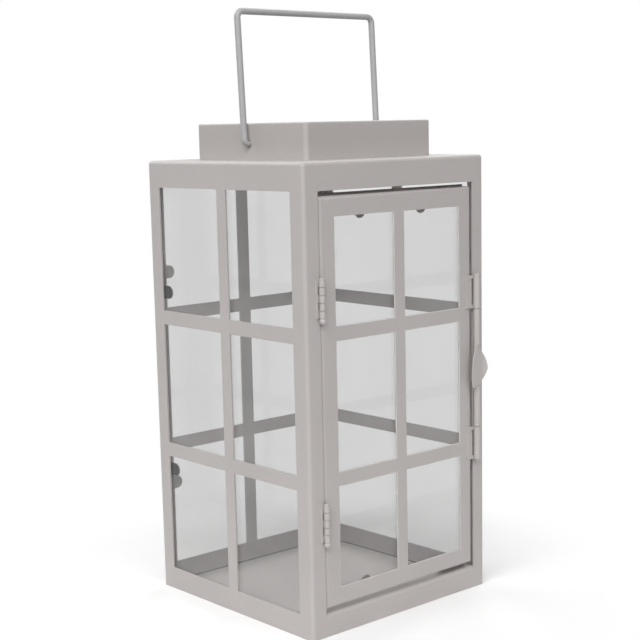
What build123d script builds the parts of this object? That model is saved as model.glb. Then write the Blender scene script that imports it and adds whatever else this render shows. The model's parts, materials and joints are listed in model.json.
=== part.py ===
from build123d import *
import os

# A square candle lantern of painted sheet metal and glass, in millimetres.
# +Z is up, the origin is the middle of the base, and the door is on the -Y side.

# Body, measured over the outside of the sheet metal
body_width = 152.4        # along X, across the door
body_depth = 152.4        # along Y
body_height = 284.5       # floor to the upper face of the top plate
sheet = 1.0               # posts, rails, bars, plates and cap
bend_inner = 1.4          # inside radius of a fold
post_leg = 11.6           # each leg of a corner post, but for these two beside the door
post_leg_hinge = 11.1
post_leg_latch = 10.2
top_rim = 2.5             # depth of the top plate's edge, which is folded down
top_rail = 16.9           # upper face of the top plate to the rails' lower edge
bottom_rail = 14.3        # floor to the rails' upper edge
sill_return = 8.0         # depth of the sill's upper edge, which is folded back under the door
sill_stop = 6.0           # height of the door's stop, a tab at the back of that fold
sill_stop_length = 25.0   # its length, from the latch post

# Glazing bars: one upright and some cross bars to a side
bar_width = 9.0
lower_pane = 76.9         # height of the lowest panes, between the bars
middle_pane = 78.9

# Cap
cap_width = 105.8         # square on plan
cap_height = 22.5
cap_corner = 3.0          # outside radius of the upright corners
cap_rim = 1.0             # outside radius of the top edges
vent_radius = 4.5
vent_ring = 27.0          # radius of the ring of vents
vent_count = 8

# Glass and its clips
glass = 2.5
glass_cover = 5.5         # how far a rail or stile covers the edge of its pane
pane_gap = 0.7            # free space at an upright edge of a pane
clip_sheet = 0.8
clip_width = 8.5
clip_foot = 2.3
clip_gap = 0.3            # between a pane's edge and the clip's web
clip_reach = 2.4          # how far a clip shows past the door's top rail
clip_reach_low = 1.5      # the same, over the door's bottom rail
clip_reach_left = 7.6     # the same, past the back post on the left side
clip_reach_back = 5.0     # the same, past the posts at the back
clip_hidden = 0.5         # how far the other clips end short of their posts' edges
clip_inset = 55.7         # back clips' distance from the rails
clip_stagger = 3.4        # room between the side and back clips in a corner

# Door
door_rail_high = 12.0     # widths of its rails and stiles
door_rail_low = 11.5
door_stile_hinge = 12.3
door_stile_latch = 11.3
door_return = 7.0         # depth of the edges that are folded back
door_lip = 1.4            # height of the lip behind the top edge
door_gap_top = 3.1
door_gap_bottom = 3.2
door_gap_hinge = 0.3
door_gap_latch = 1.5
door_clip_hinge_side = 29.5
door_clip_latch_side = 22.0
door_clip_low = 5.0       # the bottom rail's second clip, beyond the door's middle

# Hinges
hinge_inset_high = 58.8   # door's top edge to the middle of the upper hinge
hinge_inset_low = 53.8    # door's bottom edge to the middle of the lower hinge
hinge_height = 23.0
hinge_knuckles = 5
barrel_radius = 1.8
barrel_standoff = 0.3
knuckle_gap = 0.3
leaf_sheet = 0.6
leaf_width = 1.4
leaf_gap = 0.2            # between a leaf and the barrel
hinge_pin = 0.9           # radius
hinge_ball = 2.1          # radius of the tip under the barrel
hinge_ball_flat = 0.4     # cut from the ball where it meets the barrel
hinge_head = 1.4          # radius of the head on the barrel
hinge_head_height = 0.8
running = 0.06            # radial clearance of a turning fit

# Latch
latch_rise = 7.0          # its middle, above the door's middle
latch_span = 120.2        # over both brackets
latch_over_post = 1.0     # the pin's axis, beyond the edge of the post
latch_standoff = 0.5
latch_plate = 5.1
latch_plate_edge = 0.2    # from the plate to the door's edge
bracket_height = 21.3
bracket_sheet = 0.8
bracket_lug = 2.2         # height of an arm from the plate to the barrel
latch_barrel = 2.2        # outside radius of the barrels and the sleeve
latch_pin = 1.2           # radius
latch_pin_head = 1.7      # radius
latch_pin_head_height = 0.9
latch_play = 0.4          # between the sleeve and each bracket
thumb_rise = 1.2          # the thumb piece's middle, above the latch's middle
thumb_height = 27.4
thumb_left = 7.0          # from the pin's axis to the bowed edge
thumb_top = 3.1           # from the pin's axis to the upper end, on the same side
thumb_foot = 6.3          # the same, to the lower end
thumb_right = 5.9         # from the pin's axis to the tip
thumb_drop = 2.0          # the tip, below the thumb piece's middle
thumb_bulge = 1.8         # how far the sides of the tip bow out
thumb_sheet = 0.8
thumb_seat = 0.5          # depth of the flat that it is welded to
thumb_flat = 0.8          # flat stretch beyond the axis, before the curl
thumb_curl = 9.0          # inside radius of the curled tip

# Bail
bail_wire = 2.0           # radius
bail_pivot = 9.9          # above the top plate
bail_rise = 80.0          # pivot to the middle of the grip
bail_bend = 3.0           # radius of the bends at the pivots, on the wire's centre line
bail_corner = 4.0         # radius of the bends at the grip
bail_tail = 4.0           # end of the wire inside the cap
bail_gap = 0.4            # from the cap to the start of the bend
bail_hole_gap = 0.25      # radial, in the cap's holes
bail_lean = 2.7           # degrees towards the back, as it stands

# Places that follow from the sizes above
front = -body_depth / 2
fold = bend_inner + sheet
wall_top = body_height - top_rim
glazed_low = bottom_rail
glazed_high = body_height - top_rail
cross_bars = [glazed_low + lower_pane, glazed_low + lower_pane + bar_width + middle_pane]
pane_back = sheet + glass + clip_sheet + pane_gap
door_left = -body_width / 2 + post_leg_hinge + door_gap_hinge
door_right = body_width / 2 - post_leg_latch - door_gap_latch
door_low = bottom_rail + door_gap_bottom
door_high = body_height - top_rail - door_gap_top
door_middle = (door_left + door_right) / 2
door_inner_left = door_left + door_stile_hinge
door_inner_right = door_right - door_stile_latch
door_inner_low = door_low + door_rail_low
door_inner_high = door_high - door_rail_high
hinge_x = door_left - door_gap_hinge / 2
hinge_y = front - barrel_standoff - barrel_radius
latch_x = body_width / 2 - post_leg_latch + latch_over_post
latch_y = front - latch_standoff - latch_barrel
latch_z = (door_low + door_high) / 2 + latch_rise
bail_z = body_height + bail_pivot
bail_leg = cap_width / 2 + bail_gap + bail_bend

face_turn = {"front": 0, "right": 90, "back": 180, "left": 270}
face_reach = {"front": body_depth / 2, "right": body_width / 2, "back": body_depth / 2, "left": body_width / 2}
face_span = {"front": body_width, "right": body_depth, "back": body_width, "left": body_depth}


def block(x, y, z):
    """A box between two limits along each axis."""
    limits = (x, y, z)
    middle = [(low + high) / 2 for low, high in limits]
    size = [high - low for low, high in limits]
    return Pos(*middle) * Box(*size)


def rod(radius, z, x=0, y=0):
    """A round bar along Z between two heights."""
    return Pos(x, y, (z[0] + z[1]) / 2) * Cylinder(radius, z[1] - z[0])


def on_face(face, piece):
    """Turn a piece that is drawn on the front to another side of the body."""
    return Rot(0, 0, face_turn[face]) * piece


def strip(face, along, inset, height):
    """A flat strip on one side, with its depth measured inwards from the outside of the posts."""
    y = (inset[0] - face_reach[face], inset[1] - face_reach[face])
    return on_face(face, block(along, y, height))


def upright_edges(solid):
    return solid.edges().filter_by(Axis.Z)


def folded_angle(leg_x, leg_y, height):
    """A folded angle with its outer corner on the Z axis and its legs along +X and +Y."""
    diagonal = Axis((0, 0, 0), (1, 1, 0))
    outside = block((0, leg_x), (0, leg_y), (0, height))
    inside = block((sheet, leg_x + sheet), (sheet, leg_y + sheet), (0, height))
    outside = fillet(upright_edges(outside).sort_by(diagonal)[0], fold)
    inside = fillet(upright_edges(inside).sort_by(diagonal)[0], bend_inner)
    return outside - inside


def posts():
    right = body_width / 2
    back = body_depth / 2
    hinge_post = folded_angle(post_leg_hinge, post_leg, wall_top)
    latch_post = folded_angle(post_leg, post_leg_latch, wall_top)
    back_post = folded_angle(post_leg, post_leg, wall_top)
    return {
        "post_front_left": Pos(-right, -back, 0) * hinge_post,
        "post_front_right": Pos(right, -back, 0) * Rot(0, 0, 90) * latch_post,
        "post_back_right": Pos(right, back, 0) * Rot(0, 0, 180) * back_post,
        "post_back_left": Pos(-right, back, 0) * Rot(0, 0, 270) * back_post,
    }


def between_posts(face):
    """The edges of the two posts of one side, as it is drawn on the front."""
    if face == "front":
        return post_leg_hinge - body_width / 2, body_width / 2 - post_leg_latch
    edge = face_span[face] / 2 - post_leg
    return -edge, edge


def rail(face, height):
    """A flat rail of one side, flush with its posts."""
    return strip(face, between_posts(face), (0, sheet), height)


def sill():
    """The bottom rail under the door, whose upper edge is folded back and has a stop tab for the door."""
    left, right = between_posts("front")
    angle = folded_angle(bottom_rail, sill_return, right - left)
    back = front + sill_return
    stop_height = (glazed_low - sheet, glazed_low + sill_stop)
    stop = block((right - sill_stop_length, right), (back, back + sheet), stop_height)
    return Pos(left, front, glazed_low) * Rot(0, 90, 0) * angle + stop


def side_grille(face):
    """An upright bar between the rails, crossed by bars from post to post."""
    grille = strip(face, (-bar_width / 2, bar_width / 2), (0, sheet), (glazed_low, glazed_high))
    for low in cross_bars:
        grille += strip(face, between_posts(face), (0, sheet), (low, low + bar_width))
    return grille


def side_pane(face):
    """A pane that stands on the base plate, behind the rails."""
    edge = face_span[face] / 2 - pane_back
    height = (sheet, glazed_high + glass_cover)
    return strip(face, (-edge, edge), (sheet, sheet + glass), height)


def glass_clip(edge, tip, lift):
    """A clip whose foot is beside the edge of a pane, and whose round finger lies on the glass.

    It points along -X from its foot, which stands on y = 0, and rises along +Y.
    """
    near = edge + clip_gap
    radius = clip_width / 2
    width = (-radius, radius)
    foot = block((near, near + clip_foot), (0, clip_sheet), width)
    web = block((near, near + clip_sheet), (0, lift + clip_sheet), width)
    finger = block((tip + radius, near + clip_sheet), (lift, lift + clip_sheet), width)
    round_end = Pos(tip + radius, lift + clip_sheet / 2, 0) * Rot(90, 0, 0) * Cylinder(radius, clip_sheet)
    return foot + web + finger + round_end


def side_clips(face, inset, left_reach, right_reach):
    """Two clips on each upright edge of a side's pane, welded to the posts.

    Left and right are as the side is drawn on the front, and a reach is how far a clip shows past its post.
    """
    edge = face_span[face] / 2 - pane_back
    post_edge = face_span[face] / 2 - post_leg
    left_clip = mirror(glass_clip(edge, post_edge - left_reach, glass), about=Plane.YZ)
    right_clip = glass_clip(edge, post_edge - right_reach, glass)
    seat = sheet - face_reach[face]
    clips = []
    for z in (glazed_low + inset, glazed_high - inset):
        clips.append(on_face(face, Pos(0, seat, z) * right_clip))
        clips.append(on_face(face, Pos(0, seat, z) * left_clip))
    return Compound(children=clips)


def vents(z):
    """A ring of upright cutters for the vents, with one more in the middle."""
    cutter = rod(vent_radius, z)
    ring = [Rot(0, 0, 360 * step / vent_count) * Pos(vent_ring, 0, 0) * cutter for step in range(vent_count)]
    return [cutter] + ring


def body_slab(inset, z):
    """A slab with the body's outline, or smaller by an inset."""
    x = body_width / 2 - inset
    y = body_depth / 2 - inset
    return block((-x, x), (-y, y), z)


def top_plate():
    """A shallow lid whose edges are folded down onto the posts and rails, with a ring of vents."""
    lid = body_slab(0, (wall_top, body_height))
    lid = fillet(upright_edges(lid) + lid.faces().sort_by(Axis.Z)[-1].edges(), fold)
    hollow = body_slab(sheet, (wall_top, body_height - sheet))
    hollow = fillet(upright_edges(hollow), bend_inner)
    return lid - hollow - vents((body_height - sheet, body_height))


def base_plate():
    """The floor of the lantern, which fits inside the posts and bottom rails."""
    plate = body_slab(sheet, (0, sheet))
    return fillet(upright_edges(plate), bend_inner)


def cap_shell():
    """A folded box, open below, with vents in its top and two holes for the bail."""
    half = cap_width / 2
    top = body_height + cap_height
    shell = block((-half, half), (-half, half), (body_height, top))
    shell = fillet(upright_edges(shell), cap_corner)
    shell = fillet(shell.faces().sort_by(Axis.Z)[-1].edges(), cap_rim)
    inside = half - sheet
    hollow = block((-inside, inside), (-inside, inside), (body_height, top - sheet))
    hollow = fillet(upright_edges(hollow), cap_corner - sheet)
    holes = Pos(0, 0, bail_z) * Rot(0, 90, 0) * Cylinder(bail_wire + bail_hole_gap, 2 * cap_width)
    return shell - hollow - holes - vents((top - sheet, top))


def bail():
    """A wire bent square at the grip, with its ends turned in through the cap."""
    end = cap_width / 2 - sheet - bail_tail
    route = FilletPolyline(
        (-end, 0, 0),
        (-bail_leg, 0, 0),
        (-bail_leg, 0, bail_rise),
        (bail_leg, 0, bail_rise),
        (bail_leg, 0, 0),
        (end, 0, 0),
        radius=[bail_bend, bail_corner, bail_corner, bail_bend],
    )
    section = Plane(origin=route @ 0, z_dir=route % 0) * Circle(bail_wire)
    wire = sweep(section, path=route)
    return Pos(0, 0, bail_z) * Rot(-bail_lean, 0, 0) * wire


def door_frame_parts():
    """Stiles and rails whose outer edges are folded back, with the rails between the stiles.

    The top rail's fold runs on behind both stiles, and its back edge is turned up as a lip.
    """
    height = door_high - door_low
    width = door_inner_right - door_inner_left
    hinge_stile = folded_angle(door_stile_hinge, door_return, height)
    latch_stile = folded_angle(door_return, door_stile_latch, height)
    top_angle = folded_angle(door_rail_high, door_return, width)
    bottom_angle = folded_angle(door_rail_low, door_return, width)
    behind = (door_left + sheet, door_right - sheet)
    back = front + door_return
    ledge = block(behind, (front + fold, back), (door_high - sheet, door_high))
    lip = block(behind, (back - sheet, back), (door_high - sheet, door_high + door_lip))
    return {
        "door_stile_hinge": Pos(door_left, front, door_low) * hinge_stile,
        "door_stile_latch": Pos(door_right, front, door_low) * Rot(0, 0, 90) * latch_stile,
        "door_rail_top": Pos(door_inner_left, front, door_high) * Rot(0, 90, 0) * top_angle + ledge + lip,
        "door_rail_bottom": Pos(door_inner_right, front, door_low) * Rot(0, -90, 0) * bottom_angle,
    }


def door_grille():
    """The door's bars, level with those of the sides."""
    inset = (0, sheet)
    upright = (door_middle - bar_width / 2, door_middle + bar_width / 2)
    grille = strip("front", upright, inset, (door_inner_low, door_inner_high))
    for low in cross_bars:
        grille += strip("front", (door_inner_left, door_inner_right), inset, (low, low + bar_width))
    return grille


def door_pane():
    x = (door_inner_left - glass_cover, door_inner_right + glass_cover)
    z = (door_inner_low - glass_cover, door_inner_high + glass_cover)
    return strip("front", x, (sheet, sheet + glass), z)


def door_clips():
    """Two clips on the top rail and two on the bottom rail."""
    top = Rot(0, -90, 0) * glass_clip(door_inner_high + glass_cover, door_inner_high - clip_reach, glass)
    bottom = Rot(0, 90, 0) * glass_clip(glass_cover - door_inner_low, -door_inner_low - clip_reach_low, glass)
    places = [
        (top, -door_clip_hinge_side),
        (top, door_clip_latch_side),
        (bottom, -door_clip_hinge_side),
        (bottom, door_clip_low),
    ]
    return Compound(children=[Pos(door_middle + x, front + sheet, 0) * clip for clip, x in places])


def hinge_leaf(z, side, knuckles):
    """A leaf on the face of the post or stile, with the knuckles that belong to it.

    side is -1 for the leaf on the post and 1 for the leaf on the door.
    """
    low = z - hinge_height / 2
    pitch = hinge_height / hinge_knuckles
    y = (front - leaf_sheet, front)
    near = side * (barrel_radius + leaf_gap)
    far = near + side * leaf_width
    leaf = block(sorted((hinge_x + near, hinge_x + far)), y, (low, low + hinge_height))
    for index in knuckles:
        span = (low + index * pitch + knuckle_gap / 2, low + (index + 1) * pitch - knuckle_gap / 2)
        tongue = block(sorted((hinge_x, hinge_x + near)), y, span)
        leaf = leaf + tongue + rod(barrel_radius, span, hinge_x, hinge_y)
    return leaf - rod(hinge_pin + running, (low, low + hinge_height), hinge_x, hinge_y)


def hinge_pin_part(z):
    """A pin with a small head on the barrel and a ball under it."""
    low = z - hinge_height / 2 + knuckle_gap / 2
    high = z + hinge_height / 2 - knuckle_gap / 2
    shank = rod(hinge_pin, (low - hinge_ball, high), hinge_x, hinge_y)
    head = rod(hinge_head, (high, high + hinge_head_height), hinge_x, hinge_y)
    ball = Pos(hinge_x, hinge_y, low - hinge_ball + hinge_ball_flat) * Sphere(hinge_ball)
    above = rod(hinge_ball, (low, low + hinge_ball), hinge_x, hinge_y)
    return shank + head + (ball - above)


def hinges():
    frame_knuckles = range(0, hinge_knuckles, 2)
    door_knuckles = range(1, hinge_knuckles, 2)
    parts = {}
    for name, z in (("upper", door_high - hinge_inset_high), ("lower", door_low + hinge_inset_low)):
        parts[f"hinge_{name}_frame_leaf"] = hinge_leaf(z, -1, frame_knuckles)
        parts[f"hinge_{name}_door_leaf"] = hinge_leaf(z, 1, door_knuckles)
        parts[f"hinge_{name}_pin"] = hinge_pin_part(z)
    return parts


def latch_bracket(low):
    """A plate on the door's stile whose two arms carry a barrel in front of the post."""
    high = low + bracket_height
    plate_right = door_right - latch_plate_edge
    plate_y = (front - bracket_sheet, front)
    arm_y = (front - latch_standoff - bracket_sheet, front - latch_standoff)
    bracket = block((plate_right - latch_plate, plate_right), plate_y, (low, high))
    for arm_low in (low, high - bracket_lug):
        bracket += block((plate_right - bracket_lug, latch_x), arm_y, (arm_low, arm_low + bracket_lug))
    bracket += rod(latch_barrel, (low, high), latch_x, latch_y)
    return bracket - rod(latch_pin + running, (low, high), latch_x, latch_y)


def latch_pin_part():
    """A straight pin through both brackets and the sleeve, with a head at each end."""
    low = latch_z - latch_span / 2
    high = latch_z + latch_span / 2
    pin = rod(latch_pin, (low, high), latch_x, latch_y)
    pin += rod(latch_pin_head, (low - latch_pin_head_height, low), latch_x, latch_y)
    pin += rod(latch_pin_head, (high, high + latch_pin_head_height), latch_x, latch_y)
    return pin


def latch_sleeve():
    """A rolled tube between the brackets, with a flat where the thumb piece is welded on."""
    reach = latch_span / 2 - bracket_height - latch_play
    span = (latch_z - reach, latch_z + reach)
    sleeve = rod(latch_barrel, span, latch_x, latch_y) - rod(latch_pin + running, span, latch_x, latch_y)
    seat = latch_y - latch_barrel + thumb_seat
    middle = latch_z + thumb_rise
    flat_height = (middle - thumb_height / 2, middle + thumb_height / 2)
    flat = block((latch_x - latch_barrel, latch_x + latch_barrel), (seat - thumb_seat, seat), flat_height)
    return sleeve - flat


def latch_thumb():
    """A leaf shaped plate, bowed on the left and drawn to a curled tip on the right."""
    half = thumb_height / 2
    top = (-thumb_top, half)
    bottom = (-thumb_foot, -half)
    tip = (thumb_right, -thumb_drop)
    upper = ((thumb_right - thumb_top) / 2 + thumb_bulge, (half - thumb_drop) / 2 + thumb_bulge)
    lower = ((thumb_right - thumb_foot) / 2 + thumb_bulge, -(half + thumb_drop) / 2 - thumb_bulge)
    outline = ThreePointArc(bottom, (-thumb_left, -half / 3), top)
    outline += ThreePointArc(top, upper, tip)
    outline += ThreePointArc(tip, lower, bottom)
    leaf = extrude(Plane.XZ * make_face(outline), thumb_curl + thumb_sheet, both=True)
    flat = block((-thumb_left, thumb_flat), (-thumb_sheet, 0), (-half, half))
    centre = Pos(thumb_flat, -thumb_sheet - thumb_curl, 0)
    ring = centre * (Cylinder(thumb_curl + thumb_sheet, thumb_height) - Cylinder(thumb_curl, thumb_height))
    quarter = block((thumb_flat, thumb_flat + 2 * thumb_curl), (-thumb_sheet - thumb_curl, 0), (-half, half))
    curled = flat + (ring & quarter)
    seat = latch_y - latch_barrel + thumb_seat
    return Pos(latch_x, seat, latch_z + thumb_rise) * (leaf & curled)


def build():
    parts = posts()
    for face in face_turn:
        parts[f"top_rail_{face}"] = rail(face, (glazed_high, wall_top))
    parts["bottom_rail_front"] = sill()
    parts["top_plate"] = top_plate()
    parts["base_plate"] = base_plate()
    parts["cap_shell"] = cap_shell()
    for face in ("left", "right", "back"):
        parts[f"bottom_rail_{face}"] = rail(face, (0, glazed_low))
        parts[f"grille_{face}"] = side_grille(face)
        parts[f"glass_{face}"] = side_pane(face)
    side_inset = clip_inset + clip_width + clip_stagger
    parts["glass_clips_left"] = side_clips("left", side_inset, clip_reach_left, -clip_hidden)
    parts["glass_clips_right"] = side_clips("right", side_inset, -clip_hidden, -clip_hidden)
    parts["glass_clips_back"] = side_clips("back", clip_inset, clip_reach_back, clip_reach_back)
    parts.update(door_frame_parts())
    parts["door_grille"] = door_grille()
    parts["door_glass"] = door_pane()
    parts["door_glass_clips"] = door_clips()
    parts.update(hinges())
    parts["latch_bracket_upper"] = latch_bracket(latch_z + latch_span / 2 - bracket_height)
    parts["latch_bracket_lower"] = latch_bracket(latch_z - latch_span / 2)
    parts["latch_pin"] = latch_pin_part()
    parts["latch_sleeve"] = latch_sleeve()
    parts["latch_thumb"] = latch_thumb()
    parts["bail"] = bail()
    return parts


os.makedirs("parts", exist_ok=True)
for node, part in build().items():
    export_step(part, f"parts/{node}.step")
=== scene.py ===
# %% [markdown]
# # A candle lantern of painted sheet metal and glass
# The lantern comes from a CAD model, and this lesson dresses it. Each CAD solid is a named node, and
# each moving part is a body. A new piece can take the place of a node, and it then rides on the same
# body.

# %% Load the lantern
import json
import math
import bmesh
import bpy
from mathutils import Matrix, Vector


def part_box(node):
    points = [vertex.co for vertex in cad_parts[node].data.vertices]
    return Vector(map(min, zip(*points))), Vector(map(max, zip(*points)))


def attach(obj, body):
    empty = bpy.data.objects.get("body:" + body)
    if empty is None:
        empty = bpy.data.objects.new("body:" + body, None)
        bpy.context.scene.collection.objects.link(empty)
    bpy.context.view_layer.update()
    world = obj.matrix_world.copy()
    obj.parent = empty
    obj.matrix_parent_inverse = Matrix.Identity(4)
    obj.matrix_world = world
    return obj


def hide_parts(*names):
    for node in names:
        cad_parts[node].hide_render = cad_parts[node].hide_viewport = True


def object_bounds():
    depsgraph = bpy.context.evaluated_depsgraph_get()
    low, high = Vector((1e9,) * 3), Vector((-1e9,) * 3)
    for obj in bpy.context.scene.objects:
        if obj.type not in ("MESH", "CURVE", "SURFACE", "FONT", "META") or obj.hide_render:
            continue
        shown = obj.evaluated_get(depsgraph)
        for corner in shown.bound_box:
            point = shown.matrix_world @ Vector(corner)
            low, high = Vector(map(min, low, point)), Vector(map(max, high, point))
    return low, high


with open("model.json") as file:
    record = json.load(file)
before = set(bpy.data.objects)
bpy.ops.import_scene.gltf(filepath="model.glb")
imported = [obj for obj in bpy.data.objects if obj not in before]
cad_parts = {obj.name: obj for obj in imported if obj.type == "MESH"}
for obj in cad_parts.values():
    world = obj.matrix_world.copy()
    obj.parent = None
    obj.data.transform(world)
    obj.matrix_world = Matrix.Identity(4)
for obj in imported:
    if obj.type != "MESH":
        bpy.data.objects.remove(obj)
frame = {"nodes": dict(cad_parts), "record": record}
cad_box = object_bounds()
mm = 0.001

# %% [markdown]
# ## The camera
# The picture is taken from in front of the corner between the door and the left side, a little above
# the middle of the lantern. A camera could be aimed at a target, but then it would stand dead level
# from side to side. So the view is written as three turns: round the upright axis, down from level, and
# a slight tilt of the hand. A camera looks along its own -Z axis, so 90 degrees about X makes it level.
# A small lens shift keeps the uprights almost parallel, as they are in the picture.

# %% Camera
camera = bpy.data.objects.new("camera", bpy.data.cameras.new("camera"))
bpy.context.collection.objects.link(camera)
bpy.context.scene.camera = camera
camera.data.lens = 78.19
camera.data.sensor_width = 36
camera.data.shift_y = 0.05
standpoint = Matrix.Translation((-0.59521, -0.67413, 0.30513))
round_the_lantern = Matrix.Rotation(math.radians(-41.521), 4, "Z")
down_from_level = Matrix.Rotation(math.radians(90 - 9.285), 4, "X")
tilt = Matrix.Rotation(math.radians(-1.251), 4, "Z")
camera.matrix_world = standpoint @ round_the_lantern @ down_from_level @ tilt
print("camera at", [round(value, 3) for value in camera.matrix_world.translation])

# %% [markdown]
# ## Soft studio light
# A product picture is lit by broad panels, so that nothing throws a hard shadow. A sun or a point lamp
# would put sharp bright spots on the metal. So four large area lamps stand round the lantern, as in a
# light tent. They hang high, so that they also reach its floor through the glass, and the one on the
# left is the strongest.

# %% Lamps
middle = (cad_box[0] + cad_box[1]) / 2
panel_width = 1.6


def soft_panel(name, place, power):
    """A square soft box that faces the middle of the lantern."""
    lamp = bpy.data.objects.new(name, bpy.data.lights.new(name, "AREA"))
    bpy.context.collection.objects.link(lamp)
    lamp.data.size = panel_width
    lamp.data.energy = power
    lamp.location = place
    lamp.rotation_euler = (middle - Vector(place)).to_track_quat("-Z", "Y").to_euler()
    return lamp


panels = [
    soft_panel("left_panel", (-1.5, -0.7, 1.6), power=40),
    soft_panel("front_panel", (-0.3, -1.7, 1.6), power=22),
    soft_panel("right_panel", (1.5, 0.6, 1.6), power=16),
    soft_panel("back_panel", (-0.3, 1.8, 1.5), power=19),
]
print("panels:", [(lamp.name, lamp.data.energy) for lamp in panels])

# %% [markdown]
# ## The room
# The studio is white all round. A white world could light the lantern too, but evenly from every side,
# and that looks flat. So the world gives only a dim, even rest of light. Rays that come straight from
# the camera, or by way of glass and gloss, see it as plain white. The Light Path node tells those rays
# from the others.

# %% World
world = bpy.data.worlds.new("studio")
bpy.context.scene.world = world
world.use_nodes = True
studio = world.node_tree
room = studio.nodes["Background"]
room.inputs["Color"].default_value = (1, 1, 1, 1)
room.inputs["Strength"].default_value = 0.05
backdrop = studio.nodes.new("ShaderNodeBackground")
backdrop.inputs["Color"].default_value = (1, 1, 1, 1)
backdrop.inputs["Strength"].default_value = 1.0


def combine(tree, operation, first, second):
    """Works out one value from two with a Math node."""
    made = tree.nodes.new("ShaderNodeMath")
    made.operation = operation
    tree.links.new(first, made.inputs[0])
    tree.links.new(second, made.inputs[1])
    return made.outputs[0]


def seen_rays(tree):
    """A value of 1 for rays from the camera and for those that gloss or glass sends on."""
    path = tree.nodes.new("ShaderNodeLightPath")
    total = path.outputs["Is Camera Ray"]
    for kind in ("Is Glossy Ray", "Is Transmission Ray"):
        total = combine(tree, "MAXIMUM", total, path.outputs[kind])
    return total


def mix_shaders(tree, share, first, second):
    """Shows the second shader by a share from 0 to 1, and the first one for the rest."""
    mixed = tree.nodes.new("ShaderNodeMixShader")
    for socket, source in zip(mixed.inputs, (share, first, second)):
        tree.links.new(source, socket)
    return mixed.outputs[0]


surroundings = mix_shaders(studio, seen_rays(studio), room.outputs[0], backdrop.outputs[0])
studio.links.new(surroundings, studio.nodes["World Output"].inputs["Surface"])
print("room light", room.inputs["Strength"].default_value)

# %% [markdown]
# ## The floor
# The lantern stands on a white board. The board takes the soft shadow near the base and throws light
# back up on the lower half of the metal. A large plane could reach to the horizon, but its far edge
# would show as a line. So this board is round, and further out it fades into the white backdrop.

# %% Floor board
board_radius = 0.62
just_below_base = -0.05 * mm
board = bmesh.new()
bmesh.ops.create_circle(board, cap_ends=True, radius=board_radius, segments=96)
bmesh.ops.translate(board, verts=board.verts, vec=(0, 0, just_below_base))
floor_mesh = bpy.data.meshes.new("floor")
board.to_mesh(floor_mesh)
board.free()
floor = bpy.data.objects.new("floor", floor_mesh)
bpy.context.collection.objects.link(floor)
print("floor board", round(2 * board_radius, 2), "m across")

# %% White of the board
white_board = bpy.data.materials.new("white_board")
white_board.use_nodes = True
tree = white_board.node_tree
matt_white = tree.nodes["Principled BSDF"]
matt_white.inputs["Base Color"].default_value = (0.92, 0.92, 0.92, 1)
matt_white.inputs["Roughness"].default_value = 0.9
matt_white.inputs["Specular IOR Level"].default_value = 0.1
glow = tree.nodes.new("ShaderNodeEmission")
where = tree.nodes.new("ShaderNodeTexCoord")
distance = tree.nodes.new("ShaderNodeVectorMath")
distance.operation = "LENGTH"
tree.links.new(where.outputs["Object"], distance.inputs[0])
fade = tree.nodes.new("ShaderNodeMapRange")
fade.interpolation_type = "SMOOTHERSTEP"
fade.inputs["From Min"].default_value = 0.10
fade.inputs["From Max"].default_value = 0.24
tree.links.new(distance.outputs["Value"], fade.inputs["Value"])
faded = combine(tree, "MULTIPLY", fade.outputs["Result"], seen_rays(tree))
board_surface = mix_shaders(tree, faded, matt_white.outputs[0], glow.outputs[0])
tree.links.new(board_surface, tree.nodes["Material Output"].inputs["Surface"])
floor_mesh.materials.append(white_board)
print("floor material:", white_board.name)

# %% [markdown]
# ## The paint
# The metal is sprayed with a satin, warm grey paint. One flat colour would look like plastic, because
# sprayed paint is never quite one tone: it drifts slowly over a panel, it has a fine grain, and it has
# a slight orange peel that breaks up the gloss. Noise textures at several scales give all that. Along
# rounded edges the paint is thin and worn a little lighter. The edges are marked on the mesh when they
# are rounded, in an attribute called edge_wear_and_shade, and the paint reads that mark. So the wear
# follows the metal, whatever the camera does.

# %% Tools for finishes


def noise(tree, where, scale, detail):
    """A noise texture on Object coordinates, with its scale in repeats to the metre."""
    made = tree.nodes.new("ShaderNodeTexNoise")
    made.inputs["Scale"].default_value = scale
    made.inputs["Detail"].default_value = detail
    tree.links.new(where.outputs["Object"], made.inputs["Vector"])
    return made.outputs["Fac"]


def spread(tree, value, low=0.0, high=1.0, start=0.3, stop=0.7):
    """Stretches a noise value to a range."""
    made = tree.nodes.new("ShaderNodeMapRange")
    for socket, number in (("From Min", start), ("From Max", stop), ("To Min", low), ("To Max", high)):
        made.inputs[socket].default_value = number
    tree.links.new(value, made.inputs["Value"])
    return made.outputs["Result"]


def two_tones(tree, share, first, second):
    """A colour between two, by a share from 0 to 1. Each colour may be a value or a socket."""
    made = tree.nodes.new("ShaderNodeMix")
    made.data_type = "RGBA"
    tree.links.new(share, made.inputs["Factor"])
    for name, tone in (("A", first), ("B", second)):
        target = [socket for socket in made.inputs if socket.name == name and socket.type == "RGBA"][0]
        if isinstance(tone, tuple):
            target.default_value = (*tone, 1)
        else:
            tree.links.new(tone, target)
    return [socket for socket in made.outputs if socket.type == "RGBA"][0]


def edge_mark(tree):
    """The edge_wear_and_shade attribute, which is 1 on rounded edges and 0 elsewhere: the paint is worn
    lighter there, and the glass gets its painted shade there.
    """
    mark = tree.nodes.new("ShaderNodeAttribute")
    mark.attribute_name = "edge_wear_and_shade"
    return mark.outputs["Fac"]


def unevenness(tree, height, strength, depth):
    """A normal that rises and falls with a value."""
    bump = tree.nodes.new("ShaderNodeBump")
    bump.inputs["Strength"].default_value = strength
    bump.inputs["Distance"].default_value = depth
    tree.links.new(height, bump.inputs["Height"])
    return bump.outputs["Normal"]


print("tools for finishes are ready")

# %% [markdown]
# ## Coats of paint
# The sheet metal has the warm grey. The wire of the handle and the small clips on the glass are coated
# on their own, in a cooler and a darker grey. Copies of a material would drift apart when one of them
# is changed. So one function makes every coat, and only the tones and the gloss differ.

# %% Paint


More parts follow.
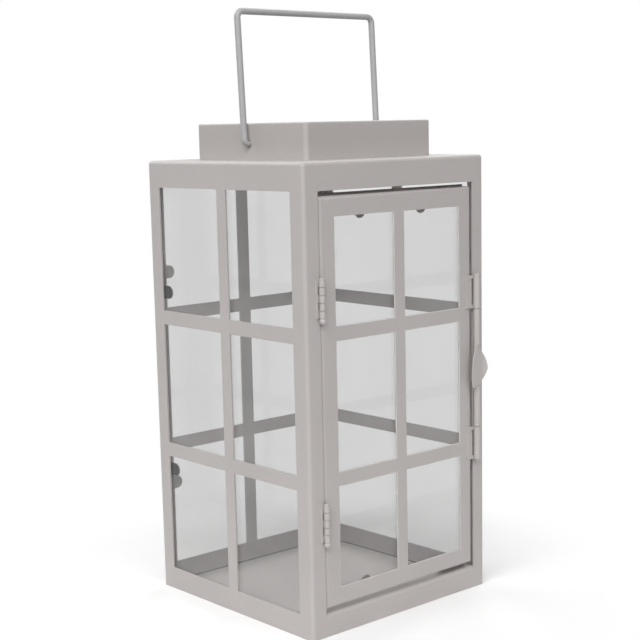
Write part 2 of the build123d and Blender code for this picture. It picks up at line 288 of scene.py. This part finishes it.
def sprayed_paint(name, light, dark, edge_wear_and_shade, rough=(0.42, 0.54)):
    """Satin spray paint between two tones, lighter where the paint on an edge is worn."""
    coat = bpy.data.materials.new(name)
    coat.use_nodes = True
    tree = coat.node_tree
    shader = tree.nodes["Principled BSDF"]
    where = tree.nodes.new("ShaderNodeTexCoord")
    drift = spread(tree, noise(tree, where, scale=14, detail=3))
    grain = noise(tree, where, scale=650, detail=2)
    panel_tone = two_tones(tree, drift, light, dark)
    grained = two_tones(tree, spread(tree, grain, high=0.22), panel_tone, dark)
    patchy = spread(tree, noise(tree, where, scale=90, detail=3), low=0.25, start=0.35, stop=0.6)
    wear = combine(tree, "MULTIPLY", edge_mark(tree), patchy)
    tree.links.new(two_tones(tree, wear, grained, edge_wear_and_shade), shader.inputs["Base Color"])
    tree.links.new(spread(tree, grain, *rough), shader.inputs["Roughness"])
    peel = unevenness(tree, noise(tree, where, scale=900, detail=2), strength=0.10, depth=0.2 * mm)
    tree.links.new(peel, shader.inputs["Normal"])
    return coat


paint = sprayed_paint("satin_grey_paint", light=(0.464, 0.437, 0.427), dark=(0.434, 0.407, 0.398),
                      edge_wear_and_shade=(0.62, 0.59, 0.57))
wire_paint = sprayed_paint("wire_grey_paint", light=(0.397, 0.391, 0.395), dark=(0.37, 0.364, 0.369),
                           edge_wear_and_shade=(0.55, 0.55, 0.55))
clip_paint = sprayed_paint("clip_grey_paint", light=(0.32, 0.305, 0.295), dark=(0.27, 0.255, 0.245),
                           edge_wear_and_shade=(0.44, 0.42, 0.41))
print("paints:", paint.name, wire_paint.name, clip_paint.name)

# %% [markdown]
# ## The glass
# The panes are thin, slightly grey window glass. A Principled shader with full transmission bends and
# mirrors light as glass does. Cycles can't send a lamp's light straight through such a shader, so a
# clear shader stands in for shadow rays, and also for the light that bounces about inside. Then the
# inside of the lantern is lit as it should be. Drawn glass is never quite flat or quite clean: a slow
# ripple and a faint haze in its tint show that. The edges of a pane are ground, and their dark look,
# where little light finds its way out, is painted shade: a near-black tint on the ground edge faces.

# %% Glass
pane_glass = bpy.data.materials.new("pane_glass")
pane_glass.use_nodes = True
tree = pane_glass.node_tree
glass_shader = tree.nodes["Principled BSDF"]
glass_shader.inputs["Roughness"].default_value = 0.01
glass_shader.inputs["IOR"].default_value = 1.5
glass_shader.inputs["Transmission Weight"].default_value = 1.0
where = tree.nodes.new("ShaderNodeTexCoord")
haze = spread(tree, noise(tree, where, scale=22, detail=4))
tint = two_tones(tree, haze, (0.80, 0.802, 0.80), (0.775, 0.777, 0.775))
# Painted shade: the ground edge faces of a pane get a near-black tint for the dark look of its edges.
painted_shade_edge_tone = (0.12, 0.13, 0.125)
tree.links.new(two_tones(tree, edge_mark(tree), tint, painted_shade_edge_tone), glass_shader.inputs["Base Color"])
ripple = unevenness(tree, noise(tree, where, scale=11, detail=1), strength=0.04, depth=0.5 * mm)
tree.links.new(ripple, glass_shader.inputs["Normal"])
clear = tree.nodes.new("ShaderNodeBsdfTransparent")
path = tree.nodes.new("ShaderNodeLightPath")
surface = glass_shader.outputs[0]
for kind in ("Is Shadow Ray", "Is Diffuse Ray"):
    surface = mix_shaders(tree, path.outputs[kind], surface, clear.outputs[0])
tree.links.new(surface, tree.nodes["Material Output"].inputs["Surface"])
print("glass:", pane_glass.name)

# %% [markdown]
# ## The walls
# The posts, rails and glazing bars are welded, ground flush and painted over, so no seam shows between
# them. They could be boxes set side by side, but then each joint would show as a line. So they are one
# piece here, made as in a workshop from a blank of sheet metal. The CAD model says where the bars and
# the openings are: the corners of the left grille are at the edges of its bars.

# %% Bars and openings
sheet = 1.0 * mm
half_bar = 4.5 * mm
outer_low, outer_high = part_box("post_front_left")[0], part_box("post_back_right")[1]


def levels(node):
    """The heights at which a CAD node has corners, to a hundredth of a millimetre."""
    return sorted({round(corner.co.z, 5) for corner in frame["nodes"][node].data.vertices})


heights = levels("grille_left")
glazed = (heights[0], heights[-1])
cross_bars = [(heights[1], heights[2]), (heights[3], heights[4])]
side_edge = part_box("grille_left")[1].y
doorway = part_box("post_front_left")[1].x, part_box("post_front_right")[0].x
print("cross bars at", [[round(z / mm, 1) for z in span] for span in cross_bars])

# %% [markdown]
# ## Folding the blank
# The blank is folded round the lantern: a box without top and bottom, with its upright corners bevelled
# to the radius of the fold.

# %% Folded blank
fold = 2.4 * mm
fold_steps = 8


def box_between(low, high):
    """A box between two corners."""
    shape = bmesh.new()
    bmesh.ops.create_cube(shape, size=1)
    bmesh.ops.scale(shape, verts=shape.verts, vec=high - low)
    bmesh.ops.translate(shape, verts=shape.verts, vec=(low + high) / 2)
    return shape


def faces_towards(shape, direction, facing=0.9):
    """The faces that look in a direction, or nearly so."""
    return [face for face in shape.faces if face.normal.dot(Vector(direction)) > facing]


def bevel(shape, edges, radius, segments):
    """Rounds edges off, and gives the new faces."""
    made = bmesh.ops.bevel(shape, geom=edges, offset=radius, offset_type="OFFSET", affect="EDGES",
                           segments=segments, profile=0.5, material=-1, clamp_overlap=True)
    return made["faces"]


blank = box_between(outer_low, outer_high)
ends = faces_towards(blank, (0, 0, 1)) + faces_towards(blank, (0, 0, -1))
bmesh.ops.delete(blank, geom=ends, context="FACES_ONLY")
upright = [edge for edge in blank.edges if abs(edge.verts[0].co.z - edge.verts[1].co.z) > fold]
bevel(blank, upright, fold, fold_steps)
print("folded blank:", len(blank.faces), "faces")

# %% [markdown]
# ## Cutting the openings
# Windows could be cut with a Boolean modifier, but that leaves long thin faces that shade badly.
# Scoring is cleaner: bisect_plane cuts the blank along the edges of the windows and leaves it joined,
# and then the faces that are waste are stamped out.

# %% Windows and doorway


def score(shape, point, normal):
    """Cuts the faces along a plane, and leaves them joined."""
    everything = shape.verts[:] + shape.edges[:] + shape.faces[:]
    bmesh.ops.bisect_plane(shape, geom=everything, plane_co=point, plane_no=normal)


def stamp(shape, is_waste):
    """Takes out the scored faces whose middle is waste."""
    waste = [face for face in shape.faces if is_waste(face.calc_center_median())]
    bmesh.ops.delete(shape, geom=waste, context="FACES")


def within(value, spans):
    """True where a value is inside one of several spans."""
    return any(start < value < stop for start, stop in spans)


def wall_waste(place):
    """True in a window or in the doorway, which is open to the floor."""
    if place.y < outer_low.y + fold:
        return within(place.x, [doorway]) and place.z < glazed[1]
    along = place.x if place.y > outer_high.y - fold else place.y
    in_window = within(place.z, [glazed]) and not within(place.z, cross_bars)
    return in_window and half_bar < abs(along) < side_edge


for z in heights:
    score(blank, (0, 0, z), (0, 0, 1))
for along in (-side_edge, -half_bar, half_bar, side_edge):
    score(blank, (0, along, 0), (0, 1, 0))
    score(blank, (along, 0, 0), (1, 0, 0))
for x in doorway:
    score(blank, (x, 0, 0), (1, 0, 0))
stamp(blank, wall_waste)
print("stamped blank:", len(blank.faces), "faces")

# %% [markdown]
# ## Thickness and rounded edges
# Solidify gives the blank the thickness of the sheet, on the inside, so that the outside keeps its
# size. Scoring has cut the flat faces into strips, and those that lie in one plane are joined again.
# Cut and folded sheet has no razor edges, and a coat of paint rounds them further. A narrow bevel on
# each sharp edge gives the thin bright lines that the eye reads as metal. A Bevel modifier could do
# that too, but only the operator tells which faces are new, and these get the edge_wear_and_shade
# mark. Where another piece is welded on, the edge stays sharp, so that no seam shows. The bevel is
# held back where it would overlap itself. On the walls a very short edge can hold all of it back, and
# then their edges stay square.

# %% Sheet with rounded edges
edge_radius = 0.35 * mm
hair = sheet / 10


def middle_of(edge):
    """The point halfway along an edge."""
    return (edge.verts[0].co + edge.verts[1].co) / 2


def thicken(shape, inside):
    """Gives a sheet its thickness towards a point inside it."""
    bmesh.ops.recalc_face_normals(shape, faces=shape.faces[:])
    face = shape.faces[:][0]
    inwards = (Vector(inside) - face.calc_center_median()).dot(face.normal)
    bmesh.ops.solidify(shape, geom=shape.faces[:], thickness=-sheet if inwards > 0 else sheet)
    bmesh.ops.recalc_face_normals(shape, faces=shape.faces[:])


def join_flat_faces(shape, degrees):
    """Joins neighbouring faces that lie in one plane, give or take an angle."""
    bmesh.ops.dissolve_limit(shape, angle_limit=math.radians(degrees), verts=shape.verts[:],
                             edges=shape.edges[:])


def round_edges(shape, radius, segments=2, sharper=50, welded=lambda place: False):
    """Bevels edges sharper than an angle, but for welded ones, and marks the bevels in the
    edge_wear_and_shade attribute.
    """
    edge_wear_and_shade = shape.faces.layers.float.new("edge_wear_and_shade")
    sharp = [edge for edge in shape.edges
             if edge.is_manifold and edge.calc_face_angle() > math.radians(sharper)]
    free = [edge for edge in sharp if not welded(middle_of(edge))]
    for face in bevel(shape, free, radius, segments):
        face[edge_wear_and_shade] = 1.0
    return shape


def welded_wall(place):
    """True along the joints with the top plate and the sill."""
    at_front = place.y < outer_low.y + 2 * sheet
    by_doorway = within(place.x, [(doorway[0] - sheet, doorway[1] + sheet)])
    beside_sill = at_front and by_doorway and place.z < glazed[0]
    return beside_sill or place.z > outer_high.z - hair


thicken(blank, middle)
join_flat_faces(blank, degrees=0.5)
score(blank, (0, 0, glazed[0]), (0, 0, 1))
round_edges(blank, edge_radius, welded=welded_wall)
print("thick walls:", len(blank.faces), "faces")

# %% [markdown]
# ## Finishing a piece
# Every piece ends in the same way. Its shape becomes a mesh object, smooth over its rounded edges but
# not over its creases, and weighted normals keep the flat faces flat. It gets its paint, rides on its
# body, and takes the place of its CAD nodes. One function does that for all, so no piece can miss a
# step.

# %% Walls
crease = math.radians(60)


def finish_piece(name, shape, body, nodes, coat=paint):
    """Makes a painted piece of a shape, and sets it in the place of CAD nodes."""
    for face in shape.faces:
        face.smooth = True
    for edge in shape.edges:
        edge.smooth = edge.calc_face_angle(0) < crease
    mesh = bpy.data.meshes.new(name)
    shape.to_mesh(mesh)
    shape.free()
    mesh.materials.append(coat)
    piece = bpy.data.objects.new(name, mesh)
    bpy.context.collection.objects.link(piece)
    even = piece.modifiers.new("even_shading", "WEIGHTED_NORMAL")
    even.keep_sharp = True
    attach(piece, body)
    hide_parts(*nodes)
    print(f"{name}: {len(mesh.polygons)} faces")
    return piece


wall_nodes = [f"post_{depth}_{side}" for depth in ("front", "back") for side in ("left", "right")]
wall_nodes += [f"{rail}_rail_{side}" for rail in ("top", "bottom") for side in ("right", "back", "left")]
wall_nodes += ["top_rail_front", "grille_right", "grille_back", "grille_left"]
finish_piece("walls", blank, "frame", wall_nodes)

# %% [markdown]
# ## The sill
# Under the door the bottom rail has its upper edge folded back. At the latch end of that fold a tab is
# turned up as a stop for the door, and it darkens the gap there. The sill could be cut from a box, but
# then its bend would have to be carved. So it is made as at the bench: a strip is drawn out leg by leg,
# the long front corner is bevelled to the radius of the fold, and the strip is thickened.

# %% Sill


def draw_out(shape, edges, vec):
    """Extrudes open edges along a vector, and gives the new edges."""
    made = bmesh.ops.extrude_edge_only(shape, edges=edges)["geom"]
    ends = {vertex for vertex in made if isinstance(vertex, bmesh.types.BMVert)}
    bmesh.ops.translate(shape, verts=list(ends), vec=vec)
    return [edge for edge in made if isinstance(edge, bmesh.types.BMEdge) and ends.issuperset(edge.verts)]


low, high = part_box("bottom_rail_front")
sill_corners = [corner.co for corner in frame["nodes"]["bottom_rail_front"].data.vertices]
stop_start = min(corner.x for corner in sill_corners if corner.z > glazed[0] + sheet)
sill = bmesh.new()
points = [sill.verts.new((x, low.y, low.z)) for x in (low.x, stop_start, high.x)]
foot = [sill.edges.new(points[:2]), sill.edges.new(points[1:])]
front_corner = draw_out(sill, foot, (0, 0, glazed[0] - low.z))
back_edge = draw_out(sill, front_corner, (0, high.y - sheet - low.y, 0))
stop_edge = [edge for edge in back_edge if middle_of(edge).x > stop_start]
draw_out(sill, stop_edge, (0, 0, high.z - glazed[0]))
bevel(sill, front_corner, fold, fold_steps)
thicken(sill, (0, high.y, low.z))
round_edges(sill, edge_radius, welded=lambda place: not low.x + sheet < place.x < high.x - sheet)
finish_piece("door_sill", sill, "frame", ["bottom_rail_front"])

# %% [markdown]
# ## The door sheet
# The door is a blank of the same kind, with a wider border. Its cross bars are level with those of the
# sides, so the bars line up round the lantern. Its rim is folded back all round, which keeps such a
# thin sheet flat. A thicker slab would look solid when the door is open. So the rim is extruded from
# the outer edges, and a bevel along the fold gives the bend its radius. A lip stands up behind the top
# edge.

# %% Stamped door
door_low, door_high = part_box("door_stile_hinge")[0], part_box("door_stile_latch")[1]
inner_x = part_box("door_grille")[0].x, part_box("door_grille")[1].x
inner_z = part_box("door_grille")[0].z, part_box("door_grille")[1].z
centre = (inner_x[0] + inner_x[1]) / 2


def door_waste(place):
    """True in a window of the door."""
    in_window = within(place.x, [inner_x]) and within(place.z, [inner_z])
    return in_window and abs(place.x - centre) > half_bar and not within(place.z, cross_bars)


door = box_between(door_low, door_high)
stamp(door, lambda place: place.y > door_low.y + sheet)
for x in (*inner_x, centre - half_bar, centre + half_bar):
    score(door, (x, 0, 0), (1, 0, 0))
for z in (*inner_z, *(z for span in cross_bars for z in span)):
    score(door, (0, 0, z), (0, 0, 1))
rim = [edge for edge in door.edges if edge.is_boundary]
stamp(door, door_waste)
print("stamped door:", len(door.faces), "faces,", len(rim), "edges round its rim")

# %% Door sheet
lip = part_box("door_rail_top")[1].z - door_high.z
folded = draw_out(door, rim, (0, door_high.y - door_low.y, 0))
top_edge = [edge for edge in folded if middle_of(edge).z > door_high.z - hair]
draw_out(door, top_edge, (0, 0, lip))
bmesh.ops.recalc_face_normals(door, faces=door.faces[:])
bevel(door, rim, fold, fold_steps)
thicken(door, middle)
join_flat_faces(door, degrees=0.5)
round_edges(door, edge_radius)
finish_piece("door_sheet", door, "door",
             ["door_stile_hinge", "door_stile_latch", "door_rail_top", "door_rail_bottom", "door_grille"])

# %% [markdown]
# ## Panes
# A pane is cut from a sheet of glass, and its edges are ground so that it can be handled. A plane with
# no thickness could stand for it, but then light wouldn't bend in it and it would have no edge faces for
# the painted shade of a ground edge. A cube scaled to the CAD pane, with a flat bevel all round, is just
# what the glazier makes.

# %% Panes
ground_edge = 0.7 * mm
panes = [
    ("pane_left", "frame", "glass_left"),
    ("pane_right", "frame", "glass_right"),
    ("pane_back", "frame", "glass_back"),
    ("pane_door", "door", "door_glass"),
]
for name, body, node in panes:
    pane = round_edges(box_between(*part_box(node)), ground_edge, segments=1)
    finish_piece(name, pane, body, [node], pane_glass)

# %% [markdown]
# ## Plates, cap, hinges and latch
# These shapes are already right in the CAD model, but their edges are knife sharp. They could be
# modelled again, but a copy keeps every hole and barrel where it is. A copy of a CAD mesh is a heap of
# loose triangles, so it is merged and its flat faces are joined first. After that its sharp edges can
# be rounded like those of the other pieces. The top plate is welded to the walls, so it keeps its lower
# edges.

# %% Softened copies of CAD pieces
same_place = 0.001 * mm
lid_edge = 0.2 * mm


def copy_of(node):
    """A merged copy of a CAD node's mesh, with its flat faces joined."""
    shape = bmesh.new()
    shape.from_mesh(frame["nodes"][node].data)
    bmesh.ops.remove_doubles(shape, verts=shape.verts[:], dist=same_place)
    join_flat_faces(shape, degrees=1)
    return shape


# Each body's nodes, with the radius of their edges in millimetres
softened = {
    "frame": [("base_plate", 0.3), ("cap_shell", 0.25)],
    "door": [("latch_bracket_upper", 0.15), ("latch_bracket_lower", 0.15), ("latch_pin", 0.2)],
    "latch": [("latch_sleeve", 0.1), ("latch_thumb", 0.2)],
}
for hinge in ("hinge_upper", "hinge_lower"):
    softened["frame"] += [(hinge + "_frame_leaf", 0.15), (hinge + "_pin", 0.15)]
    softened["door"] += [(hinge + "_door_leaf", 0.15)]
lid = round_edges(copy_of("top_plate"), lid_edge, welded=lambda place: place.z < outer_high.z + hair)
finish_piece("soft_top_plate", lid, "frame", ["top_plate"])
for body, pieces in softened.items():
    for node, radius in pieces:
        finish_piece("soft_" + node, round_edges(copy_of(node), radius * mm), body, [node])

# %% [markdown]
# ## Clips
# Small round ended clips hold each pane in its frame. On the clips of the fixed panes, the faces that
# look out towards the glass get a dark, matt, near-black colour. The clips could be split in two
# objects, but a mesh can carry two materials: the faces that look out towards the pane are given the
# second one. The clips of the door have one grey all round.

# %% Clips
# A near-black, matt coat for the faces of the fixed panes' clips that look out towards the glass.
glass_side_dark = sprayed_paint("dark_glass_side", light=(0.055, 0.053, 0.052), dark=(0.04, 0.039, 0.038),
                          edge_wear_and_shade=(0.12, 0.115, 0.11), rough=(0.6, 0.75))
outwards = {"glass_clips_left": (-1, 0, 0), "glass_clips_right": (1, 0, 0), "glass_clips_back": (0, 1, 0)}
clip_edge = 0.15 * mm
for node, towards_glass in outwards.items():
    clips = round_edges(copy_of(node), clip_edge)
    against_glass = faces_towards(clips, towards_glass)
    for face in against_glass:
        face.material_index = 1
    print(len(against_glass), "faces against the glass")
    two_coats = finish_piece("soft_" + node, clips, "frame", [node], clip_paint)
    two_coats.data.materials.append(glass_side_dark)
door_clips = round_edges(copy_of("door_glass_clips"), clip_edge)
finish_piece("soft_door_glass_clips", door_clips, "door", ["door_glass_clips"], clip_paint)

# %% [markdown]
# ## The bail
# The carrying handle is one length of round wire with square bends. A curve with a round bevel could be
# the wire too, but each of its bends would need handles set by hand. So it grows from a circle:
# straight runs are extruded, and each bend is a quarter turn of spin about the bend's own centre. The
# wire leans back a little as it stands, so the last step tips it about its pivots.

# %% Wire and its bends
wire = 2.0 * mm
wire_sides = 28
tail, leg_x = 47.9 * mm, 56.3 * mm
rise, small_bend, large_bend = 80.0 * mm, 3.0 * mm, 4.0 * mm
straight = leg_x - small_bend
quarter = math.pi / 2
bend_steps = 10


def turn(shape, ring, centre):
    """Spins an open ring a quarter turn about the Y axis through a centre, and gives the new ring."""
    made = bmesh.ops.spin(shape, geom=ring, cent=centre, axis=(0, 1, 0), angle=quarter, steps=bend_steps,
                          use_merge=False)
    return [edge for edge in made["geom_last"] if isinstance(edge, bmesh.types.BMEdge)]


bail = bmesh.new()
bmesh.ops.create_circle(bail, segments=wire_sides, radius=wire)
bmesh.ops.rotate(bail, verts=bail.verts, cent=(0, 0, 0), matrix=Matrix.Rotation(quarter, 3, "Y"))
bmesh.ops.translate(bail, verts=bail.verts, vec=(-tail, 0, 0))
ring = draw_out(bail, bail.edges[:], (tail - straight, 0, 0))
ring = turn(bail, ring, (-straight, 0, small_bend))
ring = draw_out(bail, ring, (0, 0, rise - small_bend - large_bend))
ring = turn(bail, ring, (large_bend - leg_x, 0, rise - large_bend))
ring = draw_out(bail, ring, (2 * (leg_x - large_bend), 0, 0))
ring = turn(bail, ring, (leg_x - large_bend, 0, rise - large_bend))
ring = draw_out(bail, ring, (0, 0, small_bend + large_bend - rise))
ring = turn(bail, ring, (straight, 0, small_bend))
draw_out(bail, ring, (tail - straight, 0, 0))
print("bent wire:", len(bail.faces), "faces")

# %% Bail
lean = math.radians(2.7)
end_radius = 0.4 * mm
joints = {joint["name"]: joint for joint in frame["record"]["behaviour"]["joints"]}
pivot = Vector(joints["bail_swing"]["pos_m"])
bmesh.ops.holes_fill(bail, edges=bail.edges[:], sides=0)
bmesh.ops.remove_doubles(bail, verts=bail.verts[:], dist=same_place)
bmesh.ops.recalc_face_normals(bail, faces=bail.faces[:])
round_edges(bail, end_radius, sharper=70)
bmesh.ops.rotate(bail, verts=bail.verts, cent=(0, 0, 0), matrix=Matrix.Rotation(-lean, 3, "X"))
bmesh.ops.translate(bail, verts=bail.verts, vec=pivot)
finish_piece("bail_wire", bail, "bail", ["bail"], wire_paint)

# %% [markdown]
# ## Last look
# The view transform stays Standard, so a colour renders as it is written. No CAD node should be left
# bare, so the nodes still shown are printed. The dressed lantern has to keep the CAD model's size.

# %% Finish
bpy.context.scene.view_settings.view_transform = "Standard"
print("nodes still bare:", [node.name for node in frame["nodes"].values() if not node.hide_render])
